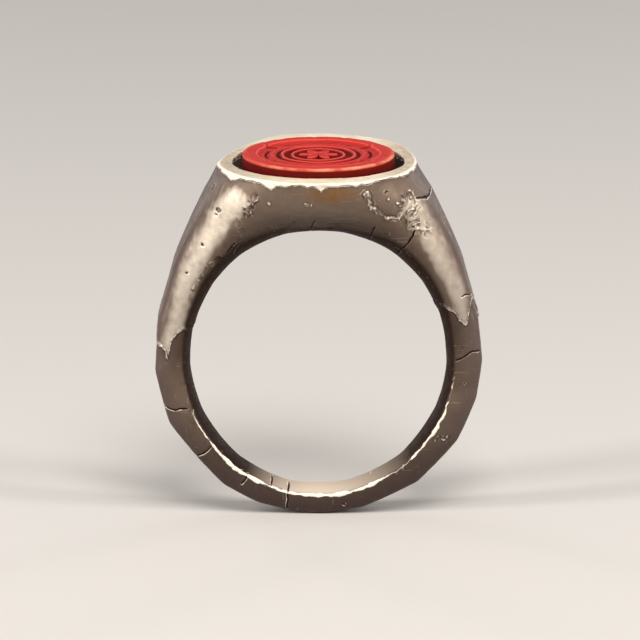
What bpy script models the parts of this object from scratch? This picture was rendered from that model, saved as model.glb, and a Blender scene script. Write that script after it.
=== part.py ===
"""A worn silver signet ring with a round carved seal.

A finger shank and a signet head are soldered together at two joints. A bezel rim is soldered round
the head's pocket, and the red seal disc stands in the pocket on a seat plate and a bed of cement.

Frame: origin at the centre of the finger hole, +X to the right, +Y along the finger, +Z to the seal.
Lengths are metres, angles are radians.
"""

import math

import bmesh
import bpy

MM = 0.001
GAP = 0.05 * MM  # left between pieces that touch

# Finger hole: worn a little taller than wide, and eased towards both faces for comfort
HOLE_HALF_WIDTH = 9.2 * MM
HOLE_HALF_HEIGHT = 9.6 * MM
EASE_BOTTOM = 0.45 * MM
EASE_TOP = 1.4 * MM
EASE_POWER = 3.0  # how late the easing turns towards a face
EASE_GROWTH = 2.6  # how late the easing grows from the bottom to the top

# Front outline: half an oval below the hole's centre, a smooth curve up to the rim above it
BAND_HALF_WIDTH = 11.7 * MM
BAND_DEPTH = 11.5 * MM
SHOULDER_SLOPE = 0.5  # how far the outline moves out for each metre down from the rim

# Side outline: a taper up from the bottom of the band, plus a soft swell under the rim
DEPTH_BOTTOM = 1.34 * MM
DEPTH_TOP = 3.3 * MM
SWELL_HEIGHT = 11.5 * MM
SWELL_LENGTH = 0.9 * MM

# Superellipse power of the cross-sections: an ellipse at the rim, square with round corners below
RIM_POWER = 2.0
BAND_POWER = 8.0
BAND_POWER_HEIGHT = 2.0 * MM

# Rim, pocket and what stands in it
RIM_HALF_X = 7.05 * MM
RIM_HALF_Y = 7.4 * MM
RIM_TOP = 14.25 * MM
RIM_HEIGHT = 0.9 * MM
RIM_EASE = 0.12 * MM
POCKET_HALF_X = 6.1 * MM
POCKET_HALF_Y = 5.65 * MM
POCKET_FLOOR = 12.35 * MM
SEAT_THICKNESS = 0.45 * MM
CEMENT_THICKNESS = 0.3 * MM
CEMENT_INSET = 0.15 * MM
DISC_RADIUS = 5.43 * MM
DISC_PROUD = 0.45 * MM
DISC_BEVEL = 0.12 * MM

# Turned seal pattern: radius of each ring groove, with one width and one depth
GROOVE_RADII = (1.05 * MM, 2.15 * MM, 3.3 * MM, 4.35 * MM)
GROOVE_HALF_WIDTH = 0.16 * MM
GROOVE_DEPTH = 0.22 * MM

# Solder joints between shank and head, measured from straight up
JOINT_ANGLE = math.radians(38)

# Facets
AROUND_BODY = 72
AROUND_HOLE = 96
AROUND_DISC = 64
LOWER_SLICES = 18
UPPER_SLICES = 18
EASE_STEPS = 6
BEYOND = 20 * MM  # cutters reach this far, well outside the ring
MERGE = 0.0001 * MM

SILVER = (0.42, 0.37, 0.31)
WORN_SILVER = (0.72, 0.65, 0.54)
DARK_SILVER = (0.12, 0.09, 0.07)
CEMENT = (0.10, 0.06, 0.04)
RED_STONE = (0.60, 0.07, 0.05)


def clear_scene():
    for thing in list(bpy.data.objects):
        bpy.data.objects.remove(thing)


def material(name, colour, roughness, metallic):
    made = bpy.data.materials.new(name)
    made.use_nodes = True
    shader = made.node_tree.nodes["Principled BSDF"]
    shader.inputs["Base Color"].default_value = (*colour, 1)
    shader.inputs["Roughness"].default_value = roughness
    shader.inputs["Metallic"].default_value = metallic
    return made


def add_walls(bm, loops):
    """Faces between neighbouring loops of equal length; returns the loops' vertices."""
    rings = [[bm.verts.new(point) for point in loop] for loop in loops]
    for low, high in zip(rings, rings[1:]):
        for i in range(len(low)):
            j = (i + 1) % len(low)
            bm.faces.new((low[i], low[j], high[j], high[i]))
    return rings


def object_from(bm, name):
    bmesh.ops.recalc_face_normals(bm, faces=bm.faces)
    mesh = bpy.data.meshes.new(name)
    bm.to_mesh(mesh)
    bm.free()
    made = bpy.data.objects.new(name, mesh)
    bpy.context.scene.collection.objects.link(made)
    return made


def solid_from_loops(name, loops):
    """A closed body through loops of equal length, all running the same way, with flat end caps."""
    bm = bmesh.new()
    rings = add_walls(bm, loops)
    bm.faces.new(reversed(rings[0]))
    bm.faces.new(rings[-1])
    return object_from(bm, name)


def superellipse(half_x, half_y, z, power, count):
    """A closed loop at height z; power 2 is an ellipse, and higher powers are squarer."""
    loop = []
    for i in range(count):
        turn = 2 * math.pi * i / count
        across, along = round(math.cos(turn), 12), round(math.sin(turn), 12)
        x = math.copysign(abs(across) ** (2 / power), across)
        y = math.copysign(abs(along) ** (2 / power), along)
        loop.append((half_x * x, half_y * y, z))
    return loop


def ease_in_out(t):
    return t * t * (3 - 2 * t)


def swell(z):
    return 1 / (1 + math.exp((SWELL_HEIGHT - z) / SWELL_LENGTH))


def side_half_depth(z):
    """Half the ring's size along the finger at height z."""
    taper = DEPTH_BOTTOM + (DEPTH_TOP - DEPTH_BOTTOM) * (z + BAND_DEPTH) / (RIM_TOP + BAND_DEPTH)
    return taper + (RIM_HALF_Y - DEPTH_TOP) * swell(z) / swell(RIM_TOP)


def half_width(z):
    """Half the ring's size across, at a height from the hole's centre up to the rim."""
    t = z / RIM_TOP
    leaning = SHOULDER_SLOPE * RIM_TOP * t * t * (1 - t)
    return BAND_HALF_WIDTH - (BAND_HALF_WIDTH - RIM_HALF_X) * ease_in_out(t) + leaning


def section_power(z):
    t = min(1.0, (RIM_TOP - z) / (RIM_TOP - BAND_POWER_HEIGHT))
    return RIM_POWER + (BAND_POWER - RIM_POWER) * ease_in_out(t)


def face_depth(x, z):
    """Half the blank's thickness along the finger at a place in the front view."""
    if z < 0:
        outward = math.hypot(x / BAND_HALF_WIDTH, z / BAND_DEPTH)
    else:
        outward = abs(x) / half_width(z)
    power = section_power(z)
    return side_half_depth(z) * (1 - outward**power) ** (1 / power)


def lower_loop(turn):
    """The blank's level section at the hole's centre, with each half swung down by an angle."""
    loop = []
    for x, y, _ in superellipse(BAND_HALF_WIDTH, 1, 0, BAND_POWER, AROUND_BODY):
        z = -abs(x) / BAND_HALF_WIDTH * BAND_DEPTH * math.sin(turn)
        loop.append((x * math.cos(turn), y * side_half_depth(z), z))
    return loop


def ring_blank(name):
    """The ring's outer body with no hole, which the shank, head and rim are cut from."""
    turns = [math.pi / 2 * (1 - i / LOWER_SLICES) for i in range(LOWER_SLICES)]
    loops = [lower_loop(turn) for turn in turns]
    for i in range(UPPER_SLICES):
        z = (RIM_TOP - 2 * RIM_EASE) * i / UPPER_SLICES
        loops.append(superellipse(half_width(z), side_half_depth(z), z, section_power(z), AROUND_BODY))
    for inset, drop in ((0.0, 2 * RIM_EASE), (0.3 * RIM_EASE, 0.8 * RIM_EASE), (RIM_EASE, 0.0)):
        z = RIM_TOP - drop
        half_x, half_y = half_width(z) - inset, side_half_depth(z) - inset
        loops.append(superellipse(half_x, half_y, z, section_power(z), AROUND_BODY))
    bm = bmesh.new()
    rings = add_walls(bm, loops)
    bm.faces.new(rings[-1])
    bmesh.ops.remove_doubles(bm, verts=bm.verts, dist=MERGE)
    return object_from(bm, name)


def hole_point(turn, share, y=None):
    """A point on the finger hole's wall; share runs from -1 at the front face to 1 at the back."""
    radius = math.hypot(HOLE_HALF_WIDTH * math.cos(turn), HOLE_HALF_HEIGHT * math.sin(turn))
    rise = ((1 + math.sin(turn)) / 2) ** EASE_GROWTH
    ease = EASE_BOTTOM + (EASE_TOP - EASE_BOTTOM) * rise
    depth = face_depth((radius + ease) * math.cos(turn), (radius + ease) * math.sin(turn))
    radius += ease * abs(share) ** EASE_POWER
    return (radius * math.cos(turn), share * depth if y is None else y, radius * math.sin(turn))


def hole_cutter():
    turns = [2 * math.pi * i / AROUND_HOLE for i in range(AROUND_HOLE)]
    loops = [[hole_point(turn, -1, -BEYOND) for turn in turns]]
    for step in range(-EASE_STEPS, EASE_STEPS + 1):
        loops.append([hole_point(turn, step / EASE_STEPS) for turn in turns])
    loops.append([hole_point(turn, 1, BEYOND) for turn in turns])
    return as_cutter(solid_from_loops("hole_cutter", loops))


def head_wedge(name, clearance):
    """The wedge above both joint planes, whose sides stand off the planes by the clearance."""
    low = -clearance / math.sin(JOINT_ANGLE)
    side = BEYOND * math.tan(JOINT_ANGLE)
    outline = ((0, low), (side, low + BEYOND), (-side, low + BEYOND))
    loops = [[(x, y, z) for x, z in outline] for y in (-BEYOND, BEYOND)]
    return as_cutter(solid_from_loops(name, loops))


def elliptic_prism(name, half_x, half_y, low, high):
    loops = [superellipse(half_x, half_y, z, 2, AROUND_DISC) for z in (low, high)]
    return solid_from_loops(name, loops)


def block(name, low, high):
    """A wide slab between two heights."""
    corners = ((-BEYOND, -BEYOND), (BEYOND, -BEYOND), (BEYOND, BEYOND), (-BEYOND, BEYOND))
    loops = [[(x, y, z) for x, y in corners] for z in (low, high)]
    return as_cutter(solid_from_loops(name, loops))


def as_cutter(thing):
    thing.hide_render = True
    thing.display_type = "WIRE"
    return thing


def cut(thing, cutter, operation="DIFFERENCE"):
    step = thing.modifiers.new(cutter.name, "BOOLEAN")
    step.operation = operation
    step.object = cutter
    step.solver = "EXACT"


def finish(thing, skin):
    thing.data.materials.append(skin)
    thing.data.shade_smooth()
    smooth = math.radians(35)
    thing.data.set_sharp_from_angle(angle=smooth)


def make_shank(hole, silver):
    shank = ring_blank("shank")
    cut(shank, hole)
    cut(shank, head_wedge("shank_end_cutter", GAP / 2))
    finish(shank, silver)


def make_head(hole, pocket, silver):
    head = ring_blank("head")
    cut(head, head_wedge("head_wedge", -GAP / 2), "INTERSECT")
    cut(head, hole)
    cut(head, block("above_head", RIM_TOP - RIM_HEIGHT - GAP, RIM_TOP + BEYOND))
    cut(head, pocket)
    finish(head, silver)


def make_bezel_rim(pocket, worn):
    rim = ring_blank("bezel_rim")
    cut(rim, block("below_rim", -BEYOND, RIM_TOP - RIM_HEIGHT))
    cut(rim, pocket)
    finish(rim, worn)


def make_seat(dark):
    top = POCKET_FLOOR + GAP + SEAT_THICKNESS
    seat = elliptic_prism("seat_plate", POCKET_HALF_X - GAP, POCKET_HALF_Y - GAP, POCKET_FLOOR + GAP, top)
    finish(seat, dark)
    return top


def make_cement(seat_top, resin):
    low = seat_top + GAP
    top = low + CEMENT_THICKNESS
    half_x, half_y = POCKET_HALF_X - CEMENT_INSET, POCKET_HALF_Y - CEMENT_INSET
    finish(elliptic_prism("setting_cement", half_x, half_y, low, top), resin)
    return top


def make_seal_disc(cement_top, stone):
    """A turned disc with ring grooves round a small raised centre, and a flat outer border."""
    low = cement_top + GAP
    top = RIM_TOP + DISC_PROUD
    profile = [(DISC_RADIUS - DISC_BEVEL, low), (DISC_RADIUS, low + DISC_BEVEL)]
    profile += [(DISC_RADIUS, top - DISC_BEVEL), (DISC_RADIUS - DISC_BEVEL, top)]
    for radius in reversed(GROOVE_RADII):
        profile.append((radius + GROOVE_HALF_WIDTH, top))
        profile.append((radius, top - GROOVE_DEPTH))
        profile.append((radius - GROOVE_HALF_WIDTH, top))
    loops = [superellipse(radius, radius, z, 2, AROUND_DISC) for radius, z in profile]
    finish(solid_from_loops("seal_disc", loops), stone)


def main():
    clear_scene()
    silver = material("aged_silver", SILVER, 0.42, 1.0)
    worn = material("worn_silver", WORN_SILVER, 0.5, 0.8)
    dark = material("tarnished_silver", DARK_SILVER, 0.6, 1.0)
    resin = material("setting_resin", CEMENT, 0.8, 0.0)
    stone = material("red_stone", RED_STONE, 0.35, 0.0)

    hole = hole_cutter()
    low, high = POCKET_FLOOR, RIM_TOP + BEYOND
    pocket = as_cutter(elliptic_prism("pocket_cutter", POCKET_HALF_X, POCKET_HALF_Y, low, high))
    make_shank(hole, silver)
    make_head(hole, pocket, silver)
    make_bezel_rim(pocket, worn)
    seat_top = make_seat(dark)
    cement_top = make_cement(seat_top, resin)
    make_seal_disc(cement_top, stone)


main()
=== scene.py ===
"""The finished look of a worn silver signet ring with a carved red seal.

The metal is a solid described by a field: a formula that is negative inside the metal and grows by
about one for each millimetre outwards. Wear, cracks, dents and flaked edges are added to the field, and
its surface is then meshed. Lengths are millimetres in the ring's own frame, with the finger hole's centre
at the origin, +Y along the finger and +Z to the seal. Meshes and scene objects are made in metres.
"""

import math

import bmesh
import bpy
import numpy as np
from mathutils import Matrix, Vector


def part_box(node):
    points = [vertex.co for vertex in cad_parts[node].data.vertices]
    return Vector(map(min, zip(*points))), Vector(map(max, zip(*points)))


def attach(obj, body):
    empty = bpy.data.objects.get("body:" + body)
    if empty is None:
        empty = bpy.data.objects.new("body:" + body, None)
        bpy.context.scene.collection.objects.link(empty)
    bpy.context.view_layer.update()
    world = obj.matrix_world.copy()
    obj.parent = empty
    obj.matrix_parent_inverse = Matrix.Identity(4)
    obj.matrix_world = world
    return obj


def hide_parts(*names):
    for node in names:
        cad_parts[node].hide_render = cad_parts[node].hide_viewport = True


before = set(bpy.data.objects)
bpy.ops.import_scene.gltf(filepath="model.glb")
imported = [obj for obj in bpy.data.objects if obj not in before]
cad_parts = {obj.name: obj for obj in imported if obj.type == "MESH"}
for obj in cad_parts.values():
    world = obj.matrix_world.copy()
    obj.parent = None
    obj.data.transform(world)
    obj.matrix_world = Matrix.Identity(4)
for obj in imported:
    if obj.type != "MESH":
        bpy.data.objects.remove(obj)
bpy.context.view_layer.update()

MM = 0.001


def span(node):
    """Lowest and highest corner of a node, in millimetres."""
    low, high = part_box(node)
    return np.array(low) / MM, np.array(high) / MM


shank_low, shank_high = span("shank")
rim_low, rim_high = span("bezel_rim")
seat_low, seat_high = span("seat_plate")
cement_low, cement_high = span("setting_cement")
disc_low, disc_high = span("seal_disc")

# The ring's front outline, its depth along the finger, and how square its section is (2 is an ellipse)
BAND_HALF_WIDTH = shank_high[0]
BAND_DEPTH = -shank_low[2]
RIM_TOP = rim_high[2]
RIM_HALF_X = 7.05
RIM_HALF_Y = 7.4
SHOULDER_SLOPE = 0.5
DEPTH_BOTTOM = 1.34
DEPTH_TOP = 3.3
SWELL_HEIGHT = 11.5
SWELL_LENGTH = 0.9
RIM_POWER = 2.0
BAND_POWER = 8.0
BAND_POWER_HEIGHT = 2.0
SLOPE_STEP = 0.05
SMALLEST_SIZE = 0.05

# The finger hole, and how far it widens towards both faces at the bottom and under the head
HOLE_HALF_WIDTH = 9.2
HOLE_HALF_HEIGHT = 9.6
EASE_BOTTOM = 0.45
EASE_TOP = 1.4
EASE_POWER = 3.0
EASE_GROWTH = 2.6

# Direction of the joints between head and shank, to each side of straight up
JOINT_ANGLE = math.radians(38)

# The pocket in the head
GAP = 0.05
POCKET_HALF_X = seat_high[0] + GAP
POCKET_HALF_Y = seat_high[1] + GAP
POCKET_FLOOR = seat_low[2] - GAP

# Hammered flats: directions in degrees from +X towards +Z where two flats meet, going round
OUTER_CORNERS = (145, 165, 184, 204, 234, 248, 260, 272, 286, 308, 329, 346, 360, 375, 395)
HOLE_CORNERS = (-25, -4, 20, 38, 57, 80, 103, 126, 143, 163, 184, 207, 233, 258, 282, 308, 335)
OUTER_FLATNESS = 0.7
HOLE_FLATNESS = 0.25
CORNER_WEAR = 2.0
FLAT_STEP = 0.25

# Cracks: side of the ring (-1 front, 1 back), half width, depth, then (x, z) places along it
CRACKS = (
    (-1, 0.07, 0.17, ((5.5, 7.7), (5.95, 8.5), (6.3, 8.9), (6.7, 9.5), (6.8, 10.0))),
    (-1, 0.07, 0.16, ((6.9, 12.4), (7.3, 12.3), (7.7, 12.2), (8.3, 12.5))),
    (-1, 0.07, 0.15, ((9.75, 0.15), (10.0, 0.25), (10.3, 0.4), (10.7, 0.65), (11.0, 0.8), (11.5, 0.75))),
    (-1, 0.07, 0.09, ((10.2, 4.8), (10.5, 5.0), (10.9, 4.9))),
    (-1, 0.08, 0.19, ((-11.0, -3.3), (-10.6, -3.5), (-10.3, -3.6), (-9.9, -3.55), (-9.35, -3.45))),
    (-1, 0.07, 0.16, ((-8.75, -7.05), (-8.25, -6.85), (-7.95, -6.65), (-7.65, -6.25))),
    (-1, 0.07, 0.14, ((-5.5, -9.25), (-5.3, -8.9), (-5.1, -8.5))),
    (-1, 0.08, 0.19, ((-2.1, -9.2), (-2.2, -9.9), (-2.15, -10.3), (-2.25, -10.8), (-2.15, -11.6))),
    (-1, 0.06, 0.12, ((-3.35, -8.8), (-3.4, -9.25))),
    (-1, 0.07, 0.11, ((-6.5, 8.2), (-6.2, 8.6), (-5.9, 9.0))),
    (-1, 0.06, 0.09, ((-6.15, 8.1), (-5.9, 8.6), (-5.6, 8.9))),
    (-1, 0.07, 0.12, ((3.6, 9.0), (3.75, 9.7), (4.0, 10.3))),
    (-1, 0.06, 0.09, ((-0.6, 9.6), (-0.5, 10.4), (-0.2, 10.9))),
    (1, 0.08, 0.19, ((-5.6, 7.6), (-6.2, 8.6), (-6.9, 9.6), (-7.6, 10.9))),
    (1, 0.08, 0.17, ((9.0, -3.9), (9.7, -4.2), (10.3, -4.0), (11.2, -4.5))),
    (1, 0.07, 0.15, ((-8.6, -2.2), (-9.8, -2.0), (-10.4, -2.4), (-11.6, -2.2))),
    (1, 0.07, 0.15, ((3.8, -8.8), (4.1, -9.6), (4.0, -10.1), (4.6, -10.9))),
)

# Pits and grains: side, x, z, radius, depth (below zero stands proud)
SPOTS = (
    (-1, -8.2, 8.75, 0.16, 0.22), (-1, -9.35, 6.6, 0.13, 0.18),
    (-1, -7.05, 11.5, 0.22, 0.20), (-1, -7.2, 11.15, 0.13, 0.12),
    (-1, -3.5, 12.5, 0.16, -0.10), (-1, -0.8, 12.5, 0.20, -0.08),
    (-1, -0.5, 12.4, 0.11, -0.08), (-1, 10.3, 1.3, 0.12, -0.05),
    (-1, 4.9, 12.65, 0.13, -0.14), (-1, 5.6, 12.25, 0.15, -0.14),
    (-1, 5.75, 12.0, 0.10, -0.10), (-1, 4.75, 13.2, 0.12, 0.10),
    (-1, 3.0, 13.1, 0.30, 0.04), (-1, 10.4, -1.6, 0.10, 0.10),
    (-1, 1.9, -10.7, 0.12, 0.08), (1, 2.2, 12.8, 0.20, 0.15),
    (1, -3.4, 12.3, 0.15, 0.15), (1, 8.9, 6.2, 0.16, 0.18),
    (1, 9.6, 4.1, 0.12, 0.14), (1, -9.8, 3.0, 0.14, 0.16),
)

# Rough, scaled or torn places: side, path, how far each spreads from the path, depth of the roughness
ROUGH_PLACES = (
    (-1, ((6.3, 12.4), (6.6, 11.6), (6.4, 10.8), (6.9, 10.2), (7.5, 9.9)), 0.8, 0.26),
    (-1, ((-4.4, 12.9), (-4.7, 12.5), (-4.8, 12.1), (-5.0, 11.8), (-4.95, 11.3)), 0.42, 0.34),
    (-1, ((-5.6, 10.9), (-6.0, 10.4), (-5.4, 10.0)), 0.30, 0.10),
    (-1, ((-6.9, 7.9), (-7.3, 7.6), (-7.7, 7.25), (-8.0, 7.0), (-8.4, 6.3), (-8.9, 5.4)), 0.22, 0.22),
    (-1, ((8.4, -5.9), (8.7, -5.6), (9.0, -5.8), (9.3, -5.6)), 0.18, 0.16),
    (-1, ((9.4, 4.2), (9.8, 3.6), (10.1, 3.1)), 0.28, 0.14),
    (1, ((4.6, 12.6), (5.4, 11.8), (5.9, 10.9)), 0.55, 0.16),
    (1, ((-8.0, 7.4), (-8.6, 6.2)), 0.30, 0.18),
)

# A dent under the rim with a raised, beaded edge along its lower side
DENT_CENTRE = (5.0, 12.6)
DENT_RADIUS = 1.65
DENT_DEPTH = 0.07
DENT_EDGE = (
    (3.3, 13.3), (3.5, 12.8), (3.8, 12.1), (4.3, 11.5),
    (4.8, 11.1), (5.2, 10.95), (5.6, 11.0), (5.9, 11.4),
)
CRUST_HEIGHT = 0.13
CRUST_HALF_WIDTH = 0.15
GROOVE_DEPTH = 0.07
GROOVE_OFFSET = 0.26
GROOVE_HALF_WIDTH = 0.08

# Where the pale outer skin ends on each side of the band, as (distance from the middle, height)
SKIN_END_LEFT = (
    (8.4, 2.2), (9.3, 2.5), (9.6, 2.4), (10.1, 2.0), (10.5, 1.5), (10.65, 0.9),
    (10.8, 0.2), (10.9, 0.75), (11.1, 1.0), (11.4, 1.15), (12.5, 1.3),
)
SKIN_END_RIGHT = (
    (8.4, 4.4), (9.2, 4.0), (9.5, 3.75), (9.85, 3.45), (10.05, 3.05), (10.3, 2.85),
    (10.55, 2.6), (10.65, 3.0), (10.75, 3.8), (10.85, 4.5), (11.1, 4.7), (12.5, 4.8),
)
SKIN_STEP = 0.05
SKIN_FADE = 0.12
SKIN_LIP_HEIGHT = 0.05
SKIN_LIP_OFFSET = 0.08
SKIN_LIP_HALF_WIDTH = 0.1
BACK_SKIN_SHIFTS = (-0.8, 0.9)

# Pits on the sides and back, and nicks along the edges of the hole
PIT_DEPTH = 0.5
PIT_RARITY = 0.62
NICK_DEPTH = 0.12
NICK_RARITY = 0.15

# The rim's chipped lower edge: its usual height, teeth on the front as (x, half width, drop), their share on
# the back, how near the edge comes to the rim's bottom and top, and the rim's overlap of the head
CHIP_LINE = 14.02
CHIP_TEETH = (
    (-5.95, 0.5, 0.30), (-3.4, 0.75, 0.40), (-2.4, 0.5, 0.22), (-0.8, 0.5, 0.16),
    (0.15, 0.45, 0.40), (2.7, 0.5, 0.06), (3.5, 0.4, 0.14), (5.0, 1.4, -0.09),
)
BACK_TEETH = 0.7
CHIP_ABOVE_BOTTOM = 0.12
CHIP_BELOW_TOP = 0.13
CHIP_OVERLAP = 0.02

# The rim's dented outline: direction in degrees from +X towards +Y, and radius as a share of its ellipse
RIM_OUTLINE = (
    (-180, 0.995), (-172, 1.0), (-60, 1.0), (-35, 0.985), (-20, 0.975), (-6, 0.975),
    (12, 0.98), (37, 1.0), (53, 0.975), (71, 0.975), (95, 0.985), (110, 0.99),
    (123, 0.94), (137, 0.91), (152, 0.915), (167, 0.95), (180, 0.995),
)
RIM_DENT_HEIGHTS = (12.0, 13.9)

# How far the rim stands proud of the body, and how far its top rises between two places along the finger
RIM_PROUD = 0.07
RIM_BACK_RISE = 0.45
RISE_PLACES = (-1.0, 6.5)

# How far the edges are rounded where two fields meet
HOLE_EDGE_ROUNDING = 0.14
HEAD_TOP_ROUNDING = 0.03
RIM_TOP_ROUNDING = 0.16
RIM_LOW_ROUNDING = 0.05
RIM_INNER_ROUNDING = 0.12

# The middle of the painted highlight down each shoulder as (distance from the middle, height), how far it
# spreads at two heights, the way its streaks run, and how much weaker it is on the right
SHOULDER_HIGHLIGHT_LEFT = ((5.9, 12.4), (6.6, 11.2), (7.6, 9.5), (8.5, 7.8), (9.3, 6.2), (10.0, 3.6), (10.6, 1.2))
SHOULDER_HIGHLIGHT_RIGHT = ((6.7, 11.6), (7.5, 10.2), (8.2, 8.6), (9.0, 7.1), (9.7, 5.7), (10.0, 4.5), (10.3, 2.9))
SHOULDER_HIGHLIGHT_HEIGHTS = (0, 12)
SHOULDER_HIGHLIGHT_BREADTH = (0.7, 1.2)
STREAK_DIRECTION = math.radians(-67)
STREAK_LENGTH = 7
RIGHT_HIGHLIGHT = 0.72

# An ochre stain under the rim: place, half height, and how much wider than high
STAIN = (0.9, 13.35)
STAIN_HALF_HEIGHT = 0.65
STAIN_WIDENING = 2.4

# Direction in degrees of the painted pool of light on the bottom of the hole, and how far it spreads each
# way
LIT_BOTTOM_DIRECTION = 268
LIT_BOTTOM_SPREAD = (24, 36)

# Where each mask on the metal begins and where it is full: past the hole's edge, by height, by how far out
# in the front view, and by direction in degrees; most of them place painted shade or painted highlights
INSIDE_RANGE = (-0.1, 0.25)
SHADE_RANGE = (-1.2, 0.0)
SHADE_HEIGHTS = (-4, 3)
OUTER_SHADE_RANGE = (0.84, 0.98)
LOW_SHADE_RANGE = (2, 9)
LIT_EDGE_START = (200, 240)
LIT_EDGE_END = (-354, -325)
UNDER_RIM_SHADOW_RANGE = (-0.22, -0.03)
RIM_LIP_HIGHLIGHT_RANGE = (-0.12, 0.0)
RIM_ENDS_RANGE = (3.0, 6.5)
RELIEF_FULL = 12

# The seal's disc, the direction its worn edge's painted highlight is strongest in, its points around, its
# rows of points, and the radii at the middle where they start and end
SEAL_TILT = math.radians(0.3)
SEAL_RISE = 0.15
SEAL_BEVEL = 0.12
WORN_HIGHLIGHT_DIRECTION = math.radians(-65)
SEAL_AROUND = 480
FACE_ROWS, BEVEL_ROWS, SIDE_ROWS, UNDER_ROWS = 130, 8, 16, 10
FACE_START, UNDER_END = 0.02, 0.5

# The seal's carving: rings and grooves as (radius, half width, height or depth), and floors as (radii where
# they begin and are full, depth)
SEAL_RINGS = ((4.38, 0.07, 0.10), (3.3, 0.10, 0.06), (2.6, 0.13, 0.17), (1.86, 0.11, 0.15))
SEAL_GROOVES = ((4.55, 0.05, 0.06), (2.95, 0.08, 0.08))
SEAL_FLOORS = ((4.55, 4.25, 0.14), (3.1, 2.8, 0.10))
PETAL_LENGTH = 1.42
PETAL_HEIGHT = 0.17
RIB_DEPTH = 0.08
BUTTON_HEIGHT = 0.12
ARC_RADIUS = 3.72
ARC_DEPTH = 0.12
LEAF_DIRECTION = math.radians(34)
LEAF_RADIUS = 4.05
LEAF_HALF_LENGTH = 0.6
LEAF_HALF_WIDTH = 0.24
LEAF_DEPTH = 0.34

# The resin bed: rows across its face and points around it, then its edge as (share of the radius, share
# of the height), down and under
CEMENT_ROWS = 60
CEMENT_AROUND = 180
CEMENT_EDGE = ((0.985, 0.9), (0.995, 0.7), (1.0, 0.4), (0.99, 0.05), (0.9, 0.0), (0.5, 0.0))
CEMENT_INSET = 0.04
CEMENT_HEADROOM = 0.08

# Camera in millimetres, but metres for where its view starts and for half the floor's width
ELEVATION = math.radians(13.8)
DISTANCE = 450
AIM = (0.114, 0, 2.603)
LENS = 353.9
SENSOR_WIDTH = 36
CLIP_START = 0.01
FLOOR_HALF = 3.0

# Sockets of the mix node when it mixes colours
MIX_AMOUNT = 0
MIX_FIRST = 6
MIX_SECOND = 7
MIX_RESULT = 2

# Meshing: grid steps, room around the metal, grid layers at a time, and how far marks reach in and out
BODY_STEP = 0.091
RIM_STEP = 0.065
MESH_ROOM = 0.3
CHUNK = 24
DEEPEST_MARK = 0.45
TALLEST_MARK = 0.2
SETTLE_REACH = 0.02
BEND_REACH = 0.05
FAR = 99.0

# Noise: random values on a cube of places, and how a seed moves the place that is read
NOISE_SIZE = 64
WRAP = NOISE_SIZE - 1
SEED_DRIFT = 5.37
SEED_JUMPS = (0, 7, 13)
RANDOM_VALUES = np.random.default_rng(7).uniform(-1, 1, NOISE_SIZE**3).astype(np.float32)

# Corners of a grid cell, and its edges as pairs of corners
CORNERS = np.array([(i, j, k) for i in (0, 1) for j in (0, 1) for k in (0, 1)])
EDGES = [(a, b) for a in range(8) for b in range(a + 1, 8) if abs(CORNERS[a] - CORNERS[b]).sum() == 1]


# ---- noise and small formulas


def noise(x, y, z, cell, seed):
    """Smooth random values between -1 and 1 that change over about one cell."""
    middle = NOISE_SIZE // 2
    places = [np.asarray(axis, dtype=np.float32) / cell + middle + seed * SEED_DRIFT for axis in (x, y, z)]
    below = [np.floor(place).astype(np.int32) for place in places]
    part = [place - base for place, base in zip(places, below)]
    part = [t * t * (3 - 2 * t) for t in part]
    whole = [base + jump * seed for base, jump in zip(below, SEED_JUMPS)]
    total = 0
    for corner in CORNERS:
        i, j, k = [base + side & WRAP for base, side in zip(whole, corner)]
        share_x, share_y, share_z = [t if side else 1 - t for t, side in zip(part, corner)]
        values = RANDOM_VALUES[(i * NOISE_SIZE + j) * NOISE_SIZE + k]
        total = total + values * share_x * share_y * share_z
    return total


def fractal(x, y, z, cell, seed, octaves=3):
    """Noise with finer and fainter noise on top."""
    total, size = 0.0, 1.0
    for octave in range(octaves):
        total = total + size * noise(x, y, z, cell / 2**octave, seed + octave)
        size *= 0.5
    return total


def ease_in_out(t):
    """From 0 to 1 as t goes from 0 to 1, level at both ends."""
    t = np.clip(t, 0, 1)
    return t * t * (3 - 2 * t)


def soft_step(value, start, end):
    """From 0 to 1 as a value goes from start to end, level at both ends."""
    return ease_in_out((value - start) / (end - start))


def bell(value, width):
    """One where a value is zero, fading out over a width on both sides."""
    return np.exp(-((value / width) ** 2))


def smooth_max(a, b, rounding):
    """The larger of two fields, with the edge where they meet rounded."""
    share = np.clip(0.5 + 0.5 * (a - b) / rounding, 0, 1)
    return b + (a - b) * share + rounding * share * (1 - share)


def path_distance(x, z, path):
    """Distance in the front view from each place to a path."""
    best = np.full(np.shape(x), FAR, dtype=np.float32)
    for (ax, az), (bx, bz) in zip(path, path[1:]):
        dx, dz = bx - ax, bz - az
        t = np.clip(((x - ax) * dx + (z - az) * dz) / (dx * dx + dz * dz), 0, 1)
        best = np.minimum(best, np.hypot(x - ax - t * dx, z - az - t * dz))
    return best


def flats(corners, strength):
    """Directions in degrees, and an outline of flats there as a share of its corners' radius."""
    edges = np.array(corners, dtype=float)
    turns = np.arange(-180, 180 + FLAT_STEP, FLAT_STEP)
    turned = (turns - edges[0]) % 360 + edges[0]
    at = np.clip(np.searchsorted(edges, turned, side="right") - 1, 0, len(edges) - 2)
    half = np.radians(edges[at + 1] - edges[at]) / 2
    middle = np.radians(edges[at + 1] + edges[at]) / 2
    share = np.where(turned > edges[-1], 1.0, np.cos(half) / np.cos(np.radians(turned) - middle))
    reach = int(CORNER_WEAR / FLAT_STEP / 2)
    weights = np.ones(2 * reach + 1) / (2 * reach + 1)
    worn = np.convolve(np.pad(share, reach, mode="wrap"), weights, "valid")
    return turns, 1 - strength * (1 - worn)


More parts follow.
